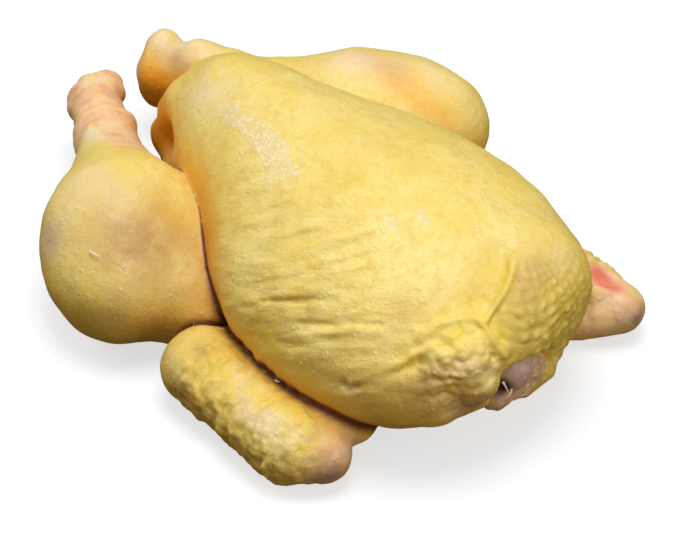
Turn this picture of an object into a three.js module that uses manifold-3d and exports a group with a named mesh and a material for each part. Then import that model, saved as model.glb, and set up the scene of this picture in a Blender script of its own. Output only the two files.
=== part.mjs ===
// A whole raw chicken, yellow skinned and ready for the oven, lying on its back with the breast up.
// It is one solid piece: body, two legs cut at the ankle, two folded wings, the tail between the legs
// and the loose skin gathered round the neck opening.
// Lengths are in millimetres. +X runs to the neck end, +Y to the bird's left side as it lies,
// and +Z up from the surface that it lies on.
import * as THREE from "three";
import { mergeVertices } from "three/addons/utils/BufferGeometryUtils.js";
import Module from "manifold-3d";

// Driving sizes of the body
const KEEL_HEIGHT = 98;
const BREAST_LENGTH = 186;
const BREAST_WIDTH = 117;
const BREAST_X = 45;
const MIDLINE_Y = 2.5;
const BACK_WIDTH = 90;
const BACK_SINK = 2;

// The main masses of the body: an ellipsoid is its centre and its three radii
const BREAST = {
  centre: [BREAST_X, MIDLINE_Y, KEEL_HEIGHT / 2],
  radii: [BREAST_LENGTH / 2, BREAST_WIDTH / 2, KEEL_HEIGHT / 2],
};
const BREAST_REAR = { centre: [-21.5, 3.5, 54.5], radii: [66, 34, 38], yaw: -6.5 };
const BREAST_LOBES = [
  { centre: [59.5, 32, 46], radii: [65.5, 37.5, 35] },
  { centre: [61, -30.5, 44], radii: [66.5, 39.5, 35] },
];
const BACK = { centre: [5.4, MIDLINE_Y, 23.5 - BACK_SINK], radii: [93.5, BACK_WIDTH / 2, 23.5] };
const BODY_BLEND = 20;

// The breast bone's edge, felt through the skin as a low ridge
const KEEL = { route: [[-74, MIDLINE_Y, 83], [-27, MIDLINE_Y, 95.5], [54, 0, 99]], height: 1.4, width: 8 };

// The vent between the legs, the tail under it, and the skin that runs down to the tail beside the vent
const VENT = { centre: [-86.5, MIDLINE_Y, 45], radii: [27, 20.5, 14.5], pitch: -12, blend: 8 };
const TAIL = { centre: [-80, 3.2, 23.5], radii: [25, 13, 10.5], pitch: -8, blend: 7 };
const TAIL_SKIN = { route: [[-76, -4, 60], [-86, -1, 45], [-93, 2, 30]], radii: [8, 7.5, 8], blend: 7 };

// The neck end: a full flap of skin on the far side, and skin bunched up on the near side
const FLAP = { centre: [107, 19.5, 62], radii: [28.5, 30, 23], blend: 11 };
const BUNCHES = [
  { centre: [119.5, -22.5, 58.5], radii: [16, 18, 13.5], blend: 4.5 },
  { centre: [127, -21.5, 48.5], radii: [11.5, 10.5, 10], blend: 2.7 },
  { centre: [115, -34, 40], radii: [16, 12.5, 14], blend: 3.6 },
];
const OPENING = { centre: [144, -1, 40.5], radii: [19, 21, 14.5], blend: 3.6 };
const NECK_FLESH = [
  { centre: [126.5, -2.5, 45], radii: [10.5, 9, 11.5], blend: 1.4 },
  { centre: [128, 8, 38], radii: [8, 8, 8], blend: 1.4 },
  { centre: [127, 2, 33], radii: [9, 9, 7], blend: 2.5 },
  { centre: [124.5, -8, 33], radii: [10, 8, 8], blend: 2.5 },
];
const NECK_ROLL = {
  route: [[126, 29, 51], [128, 21.5, 42], [130.5, 15, 34], [128.5, 6, 28.5], [121, -8, 28]],
  radii: [7.5, 7.5, 7, 6, 5],
  blend: 3.6,
};

// Folds of the neck skin: ridges stand up from the skin, and valleys sink into it
const LONG_VALLEY = {
  route: [[107.7, 10.9, 84.7], [112.7, 4.8, 82], [116.1, -1, 78.5], [118, -8, 74.5]],
  height: -4,
  width: 7,
};
const LONG_RIDGE = {
  route: [[114.3, 11.8, 83.5], [118.8, 7.2, 82], [122.2, 1.9, 79], [124.1, -6.2, 75], [125.5, -13.8, 71.5]],
  height: 3.6,
  width: 4.5,
};
const SHORT_VALLEY = {
  route: [[116.2, -28.9, 70.4], [121.5, -21.5, 70.4], [126.9, -16.6, 68.8], [131, -17.5, 63]],
  height: -2.3,
  width: 4,
};
const SHORT_RIDGE = {
  route: [
    [113.3, -33.5, 69],
    [116.3, -30.3, 73],
    [120.1, -24.1, 74.5],
    [123.9, -16.7, 73],
    [129.2, -15.6, 69],
    [131.9, -15.8, 65.5],
    [136, -12.6, 60],
  ],
  height: 3.2,
  width: 4,
};

// Each leg: the cut ankle with its knuckles, the shank, the calf, the knee and the thigh. The near leg has the
// skin stretched from the thigh to the elbow as well.
const LEGS = [
  {
    ankle: [-130, -11, 32.5],
    shank: [-101, -27.5, 34],
    calf: [-52, -56.5, 38.5],
    radii: { ankle: 11.5, shank: 11.5, calf: 29 },
    knuckles: [{ centre: [-132.2, -16.3, 30.5], radius: 6.8 }, { centre: [-129.5, -5.5, 35], radius: 7.3 }],
    knee: { centre: [-37, -72, 30.5], radii: [39, 32.5, 30], yaw: -30 },
    thigh: { centre: [-25, -45, 25], radii: [33.5, 30.5, 27] },
    web: { centre: [0, -61, 22], radii: [18, 13, 19] },
  },
  {
    ankle: [-122, 21.5, 35.5],
    shank: [-101, 34, 37],
    calf: [-52, 61, 30.5],
    radii: { ankle: 12.5, shank: 11.5, calf: 27 },
    knuckles: [
      { centre: [-125.5, 25, 44.5], radius: 8 },
      { centre: [-108, 32, 42], radius: 10 },
      { centre: [-122, 18, 26], radius: 7 },
    ],
    knee: { centre: [-29.5, 79.5, 34], radii: [40.5, 29.5, 30.5], yaw: 30 },
    thigh: { centre: [-25, 48.5, 25], radii: [33.5, 30.5, 27] },
  },
];
const CALF_BLEND = 12.5;
const KNEE_BLEND = 18;
const THIGH_BLEND = 16;
const WEB_BLEND = 14;
const KNUCKLE_BLEND = 5.4;
const LEG_TO_BODY_BLEND = 8;

// Each wing: folded at the elbow, with its tip tucked under the body
const WINGS = [
  {
    forearm: { from: [24.6, -77.6, 17.4], to: [81.7, -79.4, 15.5], radii: [16.7, 15.5] },
    upperArm: { from: [29.5, -64.5, 16.5], to: [84.5, -52, 20], radii: [13.5, 15.5] },
    hand: {
      route: [[81.7, -79.4, 15.5], [94.5, -71.5, 14.5], [84, -62, 10], [68, -48, 8]],
      radii: [14, 11.7, 8.5, 7],
    },
  },
  {
    forearm: { from: [29, 79, 15], to: [92, 75.5, 17], radii: [15.5, 13.5] },
    upperArm: { from: [30.5, 66.5, 15.5], to: [88, 54, 20], radii: [12.5, 15.5] },
    hand: {
      route: [[92, 75.5, 17], [109, 81, 14.5], [101, 66.5, 10], [90, 50.5, 8]],
      radii: [13.5, 11, 9, 7],
    },
  },
];
const HAND_BLEND = 8;
const ELBOW_BLEND = 11;
const WING_TO_BODY_BLEND = 6.5;

// The grid on which the skin is laid: finer towards the neck end, where the folds are
const GRID_LOW = [-151, -112.5, -12.5];
const GRID_HIGH = [151, 116, 110];
const COARSE_STEP = 5.9;
const FINE_STEP = 4;
const FINE_FROM_X = 97;
const SETTLE_ROUNDS = 3;
const SETTLE_REACH = COARSE_STEP / 12;

const SKIN_COLOUR = 0xeed57f;
const SKIN_ROUGHNESS = 0.5;

const radians = THREE.MathUtils.degToRad;

function minus(a, b) {
  return [a[0] - b[0], a[1] - b[1], a[2] - b[2]];
}

function dot(a, b) {
  return a[0] * b[0] + a[1] * b[1] + a[2] * b[2];
}

function length(a) {
  return Math.sqrt(dot(a, a));
}

// Turns a vector back by yaw about Z and then by pitch about Y, in degrees
function turnedBack(v, yaw, pitch) {
  const cosYaw = Math.cos(radians(yaw));
  const sinYaw = Math.sin(radians(yaw));
  const x = v[0] * cosYaw + v[1] * sinYaw;
  const y = -v[0] * sinYaw + v[1] * cosYaw;
  const cosPitch = Math.cos(radians(pitch));
  const sinPitch = Math.sin(radians(pitch));
  return [x * cosPitch + v[2] * sinPitch, y, -x * sinPitch + v[2] * cosPitch];
}

// How far a point is outside an ellipsoid, negative inside
function toEllipsoid(point, { centre, radii, yaw = 0, pitch = 0 }) {
  const v = turnedBack(minus(point, centre), yaw, pitch);
  const scaled = [v[0] / radii[0], v[1] / radii[1], v[2] / radii[2]];
  const scaledTwice = [scaled[0] / radii[0], scaled[1] / radii[1], scaled[2] / radii[2]];
  const k = length(scaled);
  if (k < 1e-3) return -Math.min(...radii);
  return (k * (k - 1)) / length(scaledTwice);
}

// How far a point is outside a round limb that tapers from one end to the other
function toLimb(point, from, to, radiusFrom, radiusTo) {
  const axis = minus(to, from);
  const v = minus(point, from);
  const t = Math.min(Math.max(dot(v, axis) / dot(axis, axis), 0), 1);
  const off = [v[0] - axis[0] * t, v[1] - axis[1] * t, v[2] - axis[2] * t];
  return length(off) - (radiusFrom + (radiusTo - radiusFrom) * t);
}

// A chain of limbs along a route, with a radius at each of its points
function toChain(point, route, radii) {
  let nearest = Infinity;
  for (let i = 0; i + 1 < route.length; i++) {
    nearest = Math.min(nearest, toLimb(point, route[i], route[i + 1], radii[i], radii[i + 1]));
  }
  return nearest;
}

// Two forms grown together, with a soft fillet as wide as blend
function joined(a, b, blend) {
  const overlap = Math.max(blend - Math.abs(a - b), 0) / blend;
  return Math.min(a, b) - (overlap * overlap * blend) / 4;
}

// The first form with the second hollowed out of it, with a rounded lip
function hollowed(a, b, blend) {
  return -joined(-a, b, blend);
}

// How much a fold lifts the skin at a point, negative where it sinks
function lift(point, { route, height, width }) {
  const away = toChain(point, route, route.map(() => 0)) / width;
  return height * Math.exp(-away * away);
}

function body(point) {
  let d = toEllipsoid(point, BREAST);
  for (const mass of [BREAST_REAR, ...BREAST_LOBES, BACK]) {
    d = joined(d, toEllipsoid(point, mass), BODY_BLEND);
  }
  return d - lift(point, KEEL);
}

function withTailEnd(d, point) {
  const vented = hollowed(d, toEllipsoid(point, VENT), VENT.blend);
  const tailed = joined(vented, toEllipsoid(point, TAIL), TAIL.blend);
  return joined(tailed, toChain(point, TAIL_SKIN.route, TAIL_SKIN.radii), TAIL_SKIN.blend);
}

function withNeckEnd(torso, point) {
  let d = joined(torso, toEllipsoid(point, FLAP), FLAP.blend);
  d -= lift(point, LONG_VALLEY) + lift(point, LONG_RIDGE);
  d = hollowed(d, toEllipsoid(point, OPENING), OPENING.blend);
  const [top, ...lower] = BUNCHES;
  d = joined(d, toEllipsoid(point, top), top.blend);
  d -= lift(point, SHORT_VALLEY) + lift(point, SHORT_RIDGE);
  for (const lump of lower) d = joined(d, toEllipsoid(point, lump), lump.blend);
  d = joined(d, toChain(point, NECK_ROLL.route, NECK_ROLL.radii), NECK_ROLL.blend);
  for (const lump of NECK_FLESH) d = joined(d, toEllipsoid(point, lump), lump.blend);
  return d;
}

function leg(point, { ankle, shank, calf, radii, knuckles, knee, thigh, web }) {
  let d = toLimb(point, ankle, shank, radii.ankle, radii.shank);
  d = joined(d, toLimb(point, shank, calf, radii.shank, radii.calf), CALF_BLEND);
  d = joined(d, toEllipsoid(point, knee), KNEE_BLEND);
  d = joined(d, toEllipsoid(point, thigh), THIGH_BLEND);
  for (const { centre, radius } of knuckles) {
    d = joined(d, length(minus(point, centre)) - radius, KNUCKLE_BLEND);
  }
  return web ? joined(d, toEllipsoid(point, web), WEB_BLEND) : d;
}

function wing(point, { forearm, upperArm, hand }) {
  let d = toLimb(point, forearm.from, forearm.to, ...forearm.radii);
  d = joined(d, toChain(point, hand.route, hand.radii), HAND_BLEND);
  return joined(d, toLimb(point, upperArm.from, upperArm.to, ...upperArm.radii), ELBOW_BLEND);
}

// The whole bird: how far a point is outside its skin
function bird(point) {
  let d = withNeckEnd(withTailEnd(body(point), point), point);
  for (const side of LEGS) d = joined(d, leg(point, side), LEG_TO_BODY_BLEND);
  for (const side of WINGS) d = joined(d, wing(point, side), WING_TO_BODY_BLEND);
  return d;
}

// Grid lines from low to high, the steps finer beyond fineFrom
function gridLines(low, high, fineFrom) {
  const lines = [low];
  while (lines[lines.length - 1] < high) {
    const last = lines[lines.length - 1];
    lines.push(last + (last < fineFrom ? COARSE_STEP : FINE_STEP));
  }
  return lines;
}

// Moves a point down the field until it lies on the skin
function settled(field, point) {
  const reach = 0.5;
  let p = point;
  for (let round = 0; round < SETTLE_ROUNDS; round++) {
    const slope = [0, 1, 2].map((axis) => {
      const ahead = [...p];
      const behind = [...p];
      ahead[axis] += reach;
      behind[axis] -= reach;
      return (field(ahead) - field(behind)) / (2 * reach);
    });
    const steepness = Math.max(dot(slope, slope), 0.2);
    const move = THREE.MathUtils.clamp(field(p) / steepness, -SETTLE_REACH, SETTLE_REACH);
    p = p.map((value, axis) => value - slope[axis] * move);
  }
  return p;
}

// Fills the corners where the skin would only touch itself across a grid face, so that it stays one sheet
function fillPinches(values, stride) {
  const inside = -COARSE_STEP / 20;
  let pinches = 1;
  while (pinches) {
    pinches = 0;
    for (let here = 0; here + stride[0] + stride[1] + stride[2] < values.length; here++) {
      for (let axis = 0; axis < 3; axis++) {
        const across = stride[(axis + 1) % 3];
        const up = stride[(axis + 2) % 3];
        const ring = [here, here + across, here + across + up, here + up];
        const [a, b, c, d] = ring.map((corner) => values[corner] < 0);
        if (a !== c || b !== d || a === b) continue;
        for (const corner of ring) values[corner] = Math.min(values[corner], inside);
        pinches++;
      }
    }
  }
}

// A closed mesh round a field: one vertex in each grid cell that the skin passes through,
// and one quadrilateral, as two triangles, across each grid edge that it crosses
function skinMesh(field) {
  const fineFrom = [FINE_FROM_X, Infinity, Infinity];
  const lines = fineFrom.map((from, axis) => gridLines(GRID_LOW[axis], GRID_HIGH[axis], from));
  const [nx, ny, nz] = lines.map((line) => line.length);
  const stride = [ny * nz, nz, 1];
  const at = (i, j, k) => i * stride[0] + j * stride[1] + k;
  const corner = (i, j, k) => [lines[0][i], lines[1][j], lines[2][k]];
  const values = new Float64Array(nx * ny * nz);
  for (let i = 0; i < nx; i++) {
    for (let j = 0; j < ny; j++) {
      for (let k = 0; k < nz; k++) values[at(i, j, k)] = field(corner(i, j, k));
    }
  }
  fillPinches(values, stride);

  const vertexOf = new Map();
  const positions = [];
  const cellEdges = [];
  for (let axis = 0; axis < 3; axis++) {
    for (const a of [0, 1]) {
      for (const b of [0, 1]) {
        const start = [a, b];
        start.splice(axis, 0, 0);
        const end = [a, b];
        end.splice(axis, 0, 1);
        cellEdges.push([start, end]);
      }
    }
  }
  for (let i = 0; i + 1 < nx; i++) {
    for (let j = 0; j + 1 < ny; j++) {
      for (let k = 0; k + 1 < nz; k++) {
        const crossings = [];
        for (const [start, end] of cellEdges) {
          const low = values[at(i + start[0], j + start[1], k + start[2])];
          const high = values[at(i + end[0], j + end[1], k + end[2])];
          if (low < 0 === high < 0) continue;
          const from = corner(i + start[0], j + start[1], k + start[2]);
          const to = corner(i + end[0], j + end[1], k + end[2]);
          const t = low / (low - high);
          crossings.push(from.map((value, axis) => value + (to[axis] - value) * t));
        }
        if (!crossings.length) continue;
        const sums = crossings.reduce((sum, point) => sum.map((value, axis) => value + point[axis]));
        const middle = sums.map((value) => value / crossings.length);
        vertexOf.set(at(i, j, k), positions.length / 3);
        positions.push(...settled(field, middle));
      }
    }
  }

  const triangles = [];
  for (let axis = 0; axis < 3; axis++) {
    const across = stride[(axis + 1) % 3];
    const up = stride[(axis + 2) % 3];
    for (let i = 1; i + 1 < nx; i++) {
      for (let j = 1; j + 1 < ny; j++) {
        for (let k = 1; k + 1 < nz; k++) {
          const here = at(i, j, k);
          const low = values[here];
          const high = values[here + stride[axis]];
          if (low < 0 === high < 0) continue;
          const ring = [here - across - up, here - up, here, here - across].map((cell) => vertexOf.get(cell));
          if (high < 0) ring.reverse();
          triangles.push(ring[0], ring[1], ring[2], ring[0], ring[2], ring[3]);
        }
      }
    }
  }
  const geometry = new THREE.BufferGeometry();
  geometry.setAttribute("position", new THREE.Float32BufferAttribute(positions, 3));
  geometry.setIndex(triangles);
  return geometry;
}

// A box under the surface that the bird lies on
function underFloor() {
  const depth = 40;
  const size = GRID_HIGH.map((high, axis) => high - GRID_LOW[axis] + 2 * depth);
  const box = new THREE.BoxGeometry(size[0], size[1], depth);
  box.deleteAttribute("normal");
  box.deleteAttribute("uv");
  box.translate(0, 0, -depth / 2);
  return mergeVertices(box);
}

function solidOf(wasm, geometry) {
  const vertProperties = new Float32Array(geometry.attributes.position.array);
  const triVerts = new Uint32Array(geometry.index.array);
  return new wasm.Manifold(new wasm.Mesh({ numProp: 3, vertProperties, triVerts }));
}

function geometryOf(solid) {
  const mesh = solid.getMesh();
  const geometry = new THREE.BufferGeometry();
  geometry.setAttribute("position", new THREE.BufferAttribute(mesh.vertProperties, 3));
  geometry.setIndex(new THREE.BufferAttribute(mesh.triVerts, 1));
  return geometry;
}

// Puts the origin under the middle of the bird, on the surface that it lies on
function centred(geometry) {
  geometry.computeBoundingBox();
  const { min, max } = geometry.boundingBox;
  return geometry.translate(-(min.x + max.x) / 2, -(min.y + max.y) / 2, -min.z);
}

const wasm = await Module();
wasm.setup();

const resting = solidOf(wasm, skinMesh(bird)).subtract(solidOf(wasm, underFloor()));
const skin = new THREE.MeshStandardMaterial({ color: SKIN_COLOUR, roughness: SKIN_ROUGHNESS, metalness: 0 });
const chicken = new THREE.Mesh(centred(geometryOf(resting)), skin);
chicken.name = "raw_chicken";

const group = new THREE.Group();
group.add(chicken);

export default group;
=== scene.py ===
"""The looks of a whole raw chicken, yellow skinned, lying on its back.

The skin is one closed mesh laid round a field: a function that says how far a point is outside the bird.
The field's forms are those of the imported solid, in millimetres: +X to the neck end, +Y to the far side in
the photograph, +Z up. The finer relief, such as folds, wrinkles and follicles, is added here.
"""
import math

import bpy
import numpy as np
from mathutils import Matrix, Vector


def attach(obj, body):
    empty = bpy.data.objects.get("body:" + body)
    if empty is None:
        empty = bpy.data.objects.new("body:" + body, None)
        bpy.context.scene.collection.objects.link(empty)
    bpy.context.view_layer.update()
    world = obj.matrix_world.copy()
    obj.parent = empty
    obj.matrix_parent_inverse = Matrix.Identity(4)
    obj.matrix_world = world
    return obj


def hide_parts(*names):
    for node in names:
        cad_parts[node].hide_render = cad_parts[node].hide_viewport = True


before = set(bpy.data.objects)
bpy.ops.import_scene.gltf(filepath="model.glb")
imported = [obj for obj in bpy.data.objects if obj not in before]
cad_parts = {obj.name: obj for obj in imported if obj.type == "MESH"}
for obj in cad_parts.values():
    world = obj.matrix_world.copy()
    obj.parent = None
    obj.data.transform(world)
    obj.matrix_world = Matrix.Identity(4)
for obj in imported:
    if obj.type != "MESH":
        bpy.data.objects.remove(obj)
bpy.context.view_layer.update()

MM = 0.001
NODE = "raw_chicken"

# The photograph's frame and the camera fitted to it
PHOTO_WIDTH_PX = 678
SENSOR_MM = 36.0
VIEW_AZIMUTH = 49.0
VIEW_ELEVATION = 41.0
CAMERA_DISTANCE_MM = 1440.0
LOOK_AT_MM = (38.1, -14.0, 40.5)
PIXELS_PER_MM = 2.405

# Directions across and up the photograph, for folds that lie along them
ACROSS_VIEW = np.array([0.656, 0.755, 0.0], np.float32)
UP_VIEW = np.array([-0.495, 0.430, 0.755], np.float32)
VIEW_AXES = Matrix((ACROSS_VIEW, UP_VIEW, np.cross(ACROSS_VIEW, UP_VIEW)))
VIEW_TURN = VIEW_AXES.transposed().to_euler()

# The main masses of the body: centre, radii
KEEL_HEIGHT = 98.0
MIDLINE_Y = 2.5
BREAST = dict(centre=(45, MIDLINE_Y, KEEL_HEIGHT / 2), radii=(93, 58.5, KEEL_HEIGHT / 2))
BREAST_REAR = dict(centre=(-21.5, 3.5, 54.5), radii=(66, 34, 38), yaw=-6.5)
BREAST_LOBES = [
    dict(centre=(59.5, 32, 46), radii=(65.5, 37.5, 35)),
    dict(centre=(61, -30.5, 44), radii=(66.5, 39.5, 35)),
]
BACK = dict(centre=(5.4, MIDLINE_Y, 21.5), radii=(93.5, 45, 23.5))
BODY_BLEND = 20.0
KEEL = dict(route=[(-74, MIDLINE_Y, 83), (-27, MIDLINE_Y, 95.5), (54, 0, 99)], height=1.4, width=8.0)

# The vent between the legs, the tail under it, and the skin that runs down to the tail beside the vent
VENT = dict(centre=(-86.5, MIDLINE_Y, 45), radii=(27, 20.5, 14.5), pitch=-12)
TAIL = dict(centre=(-80, 3.2, 23.5), radii=(25, 13, 10.5), pitch=-8)
TAIL_SKIN = dict(route=[(-76, -4, 60), (-86, -1, 45), (-93, 2, 30)], radii=(8, 7.5, 8))
TAIL_END_BLEND = 6.0

# The neck end: a full flap of skin on the far side, and skin bunched up on the near side
FLAP = dict(centre=(107, 19.5, 62), radii=(28.5, 30, 23))
FLAP_BLEND = 11.0
BUNCH = dict(centre=(119.5, -22.5, 58.5), radii=(16, 18, 13.5))
BUNCH_BLEND = 3.5
LOWER_BUNCHES = [
    dict(centre=(127, -21.5, 48.5), radii=(11.5, 10.5, 10)),
    dict(centre=(115, -34, 40), radii=(16, 12.5, 14)),
]
LOWER_BUNCH_BLEND = 2.5
OPENING = dict(centre=(144, -1, 40.5), radii=(19, 21, 14.5))
OPENING_BLEND = 3.0
NECK_ROLL = dict(
    route=[(126, 29, 51), (128, 21.5, 42), (130.5, 15, 34), (128.5, 6, 28.5), (121, -8, 28)],
    radii=(7.5, 7.5, 7, 6, 5),
)
NECK_ROLL_BLEND = 3.0
NECK_FLESH = [
    dict(centre=(128, -2.5, 44.5), radii=(10.2, 9.5, 11.5)),
    dict(centre=(128, 8, 38), radii=(8, 8, 8)),
    dict(centre=(127, 2, 33), radii=(9, 9, 7)),
    dict(centre=(124.5, -8, 33), radii=(10, 8, 8)),
]
FLESH_HOLE = dict(centre=(135, -12, 41), radii=(5, 2.8, 3))

# Folds of the neck skin: a ridge stands up from the skin, and a valley, of height below zero, sinks into it
LONG_VALLEY = dict(
    route=[(107.7, 10.9, 84.7), (112.7, 4.8, 82), (116.1, -1, 78.5), (118, -8, 74.5)],
    height=-3.4,
    width=6.0,
)
LONG_RIDGE = dict(
    route=[(114.3, 11.8, 83.5), (118.8, 7.2, 83.5), (121.8, 1.9, 81), (123.2, -2.5, 79),
           (124.1, -6.2, 76.8), (124.4, -9.5, 75), (125.8, -13.1, 73.5)],
    height=2.8,
    width=1.7,
)
SHORT_VALLEY = dict(
    route=[(115.8, -28.5, 69.9), (119, -23.4, 70.7), (121.9, -19.1, 70.1),
           (125.3, -16.8, 68.3), (129, -17, 65.4), (133.5, -16.5, 61)],
    height=-1.6,
    width=1.5,
)
SHORT_RIDGE = dict(
    route=[(113.2, -36.8, 70.4), (116.8, -28, 75), (121.2, -18.6, 75.3), (124.8, -15.4, 74.1),
           (128.7, -15.2, 71.3), (131.8, -14.6, 67.7), (136.1, -11.8, 60.4)],
    height=2.4,
    width=1.7,
)

# Each leg: the cut ankle with its knuckles, the shank, the calf, the knee and the thigh. The near leg has the
# skin stretched from the thigh to the elbow as well.
NEAR_LEG = dict(
    ankle=(-130, -11, 32.5), shank=(-101, -27.5, 34), calf=(-52, -56.5, 38.5),
    radii=(11.5, 11.5, 29),
    knuckles=[((-132.2, -16.3, 30.5), 6.8), ((-129.5, -5.5, 35), 7.3)],
    knee=dict(centre=(-37, -72, 30.5), radii=(39, 32.5, 30), yaw=-30),
    thigh=dict(centre=(-25, -45, 25), radii=(33.5, 30.5, 27)),
    web=dict(centre=(0, -61, 22), radii=(18, 13, 19)),
)
FAR_LEG = dict(
    ankle=(-122, 21.5, 35.5), shank=(-101, 34, 37), calf=(-52, 61, 30.5),
    radii=(12.5, 11.5, 27),
    knuckles=[((-125.5, 25, 44.5), 8), ((-109, 31, 43.5), 10.5), ((-122, 18, 26), 7)],
    knee=dict(centre=(-29.5, 79.5, 34), radii=(40.5, 29.5, 30.5), yaw=30),
    thigh=dict(centre=(-25, 48.5, 25), radii=(33.5, 30.5, 27)),
)
CALF_BLEND = 12.5
KNEE_BLEND = 18.0
THIGH_BLEND = 16.0
WEB_BLEND = 14.0
KNUCKLE_BLEND = 5.0
LEG_TO_BODY_BLEND = 3.0

# Each wing: folded at the elbow, with its tip tucked under the body
NEAR_WING = dict(
    forearm=((24.6, -77.6, 17.4), (81.7, -79.4, 15.5), 16.7, 15.5),
    upper_arm=((29.5, -64.5, 16.5), (84.5, -52, 20), 13.5, 15.5),
    hand=dict(route=[(81.7, -79.4, 15.5), (94.5, -71.5, 14.5), (84, -62, 10), (68, -48, 8)],
              radii=(14, 11.7, 8.5, 7)),
)
FAR_WING = dict(
    forearm=((29, 79, 15), (92, 75.5, 17), 15.5, 13.5),
    upper_arm=((30.5, 66.5, 15.5), (88, 54, 20), 12.5, 15.5),
    hand=dict(route=[(92, 75.5, 17), (109, 81, 14.5), (101, 66.5, 10), (90, 50.5, 8)],
              radii=(13.5, 11, 9, 7)),
    hollow=dict(centre=(103.5, 77, 30.5), radii=(9, 4, 5), yaw=38, pitch=-24),
)
HAND_BLEND = 7.0
ELBOW_BLEND = 5.0
WING_TO_BODY_BLEND = 2.0
WING_HOLLOW_BLEND = 2.0

# Follicles on the neck skin, by their angles round the flap
FOLLICLE_ROW_DEGREES = 11.0
FOLLICLE_STEP_DEGREES = 8.5
FOLLICLE_JITTER = 0.14
FOLLICLE_SPREAD = (0.12, 0.2)

# The middle and the radii of the wrinkles, low and high on the near side of the breast
LOW_FOLDS = ((66, -58, 60), (46, 24, 22))
HIGH_FOLDS = ((42, -36, 84), (44, 22, 15))

# Where skin is wrinkled, thick with follicles or crumpled: centre, radii and strength of each patch
WRINKLED = [((66, -56, 62), (56, 30, 28), 1.2), ((42, -34, 84), (56, 28, 20), 1.2)]
FOLLICLED = [
    ((128, 12, 62), (20, 26, 17), 1.5),
    ((122, 22, 76), (16, 20, 11), 0.35),
    ((131, 20, 40), (12, 16, 14), 0.9),
]
FOLLICLES_START = (73, 79)
CRUMPLED = [((124, -28, 58), (15, 17, 17), 1.4)]

# Where the skin stops and wrinkles, in millimetres along the leg from the cut ankle
NEAR_SKIN_EDGE = 35.5
FAR_SKIN_EDGE = (-7, -12)
ANKLE_RIDGE = dict(along=25.5, height=1.3, width=1.6)
ANKLE_GROOVE = dict(along=22.5, height=-1.5, width=1.4)

# Single small folds and creases of the skin
SMALL_FOLDS = [
    dict(route=[(49.9, -64.8, 62.3), (64, -58.8, 69.5), (78.9, -51.5, 75)], height=-0.9, width=1.3),
    dict(route=[(72, -65.7, 60), (86, -57.5, 66.5), (101, -47.2, 70.3)], height=0.8, width=1.6),
    dict(route=[(70, -63, 63), (84, -56, 68), (99, -46, 72.3)], height=-0.7, width=1.4),
    dict(route=[(99.9, -61.9, 51), (112, -48.9, 61.3), (118.7, -36.4, 68)], height=1.4, width=1.5),
    dict(route=[(98, -62, 48), (111, -50, 57), (119, -40, 63)], height=-1.3, width=2.2),
    dict(route=[(104, -42, 72), (112, -36, 71.5), (120, -29, 71)], height=0.9, width=1.3),
    dict(route=[(108, 12, 86), (113, 24, 85), (116, 36, 80)], height=-0.7, width=3.0),
]

# Tints of the skin: centre, radii and strength of each patch
# Painted shade: a warm orange glow along the breast's edge beside the near thigh, kept to the body
SHADE_GLOW = [
    ((-50, -33, 62), (16, 8, 12), 0.5),
    ((-36, -39, 63), (16, 8, 12), 0.7),
    ((-22, -45, 60), (14, 8, 12), 0.9),
    ((-8, -52, 54), (13, 8, 12), 1.0),
    ((6, -58, 46), (13, 8, 13), 1.0),
    ((16, -60, 36), (12, 8, 13), 1.0),
]
# Painted shade: saturated orange where the legs, the vent, the tail, the thighs and the neck roll lie in
# shade
AMBER_SHADE = [
    ((-121, 10, 38), (11, 8, 9), 1.0),
    ((-106, 18, 36), (16, 11, 11), 1.0),
    ((-122, 13, 30), (11, 11, 10), 0.9),
    ((-82, 8, 42), (16, 16, 20), 1.0),
    ((-92, -4, 28), (14, 12, 14), 0.9),
    ((-82, -8, 52), (9, 8, 12), 0.9),
    ((6, -66, 36), (13, 9, 8), 0.45),
    ((-18, -55, 56), (20, 7, 10), 0.4),
    ((130, 16, 36), (7, 7, 7), 0.3),
    ((-16, 73, 61), (26, 8, 8), 0.6),
    ((4, 78, 50), (18, 9, 10), 0.4),
]
MAUVE = [
    ((-19, -75, 54), (26, 22, 18), 1.0),
    ((-7.5, -94.3, 30), (25, 12, 9), 0.5),
    ((122.4, 16.5, 81.6), (7, 6, 5), 0.55),
    ((124.5, 7.4, 79.2), (5, 5, 6), 0.6),
    ((127, 4, 73), (5, 5, 5), 0.4),
    ((124, -41, 56.8), (9, 8, 7), 0.8),
    ((131, -31, 63), (6, 6, 5), 0.4),
    ((133.9, -28.1, 44), (12, 10, 8), 1.0),
    ((120, -42, 45), (12, 9, 8), 0.6),
    ((72.6, -59.3, 69), (5, 4, 3), 0.55),
    ((60, -70, 56), (8, 6, 5), 0.5),
    ((100, -55, 50), (18, 12, 9), 0.35),
    ((104, -38, 76), (7, 7, 5), 0.35),
    ((33.2, -94.4, 20), (11, 7, 8), 0.5),
    ((60, -93, 16), (24, 6, 8), 0.3),
    ((88, -92, 12), (14, 6, 7), 0.45),
    ((32.3, -81.5, 34), (8, 6, 4), 0.7),
    ((101, -74, 18), (12, 12, 10), 0.8),
    ((-112.6, 22, 46.3), (9, 6, 6), 0.7),
    ((-30, 76, 64), (14, 8, 5), 0.35),
    ((136, -1, 62), (4, 4, 3), 0.5),
]
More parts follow.
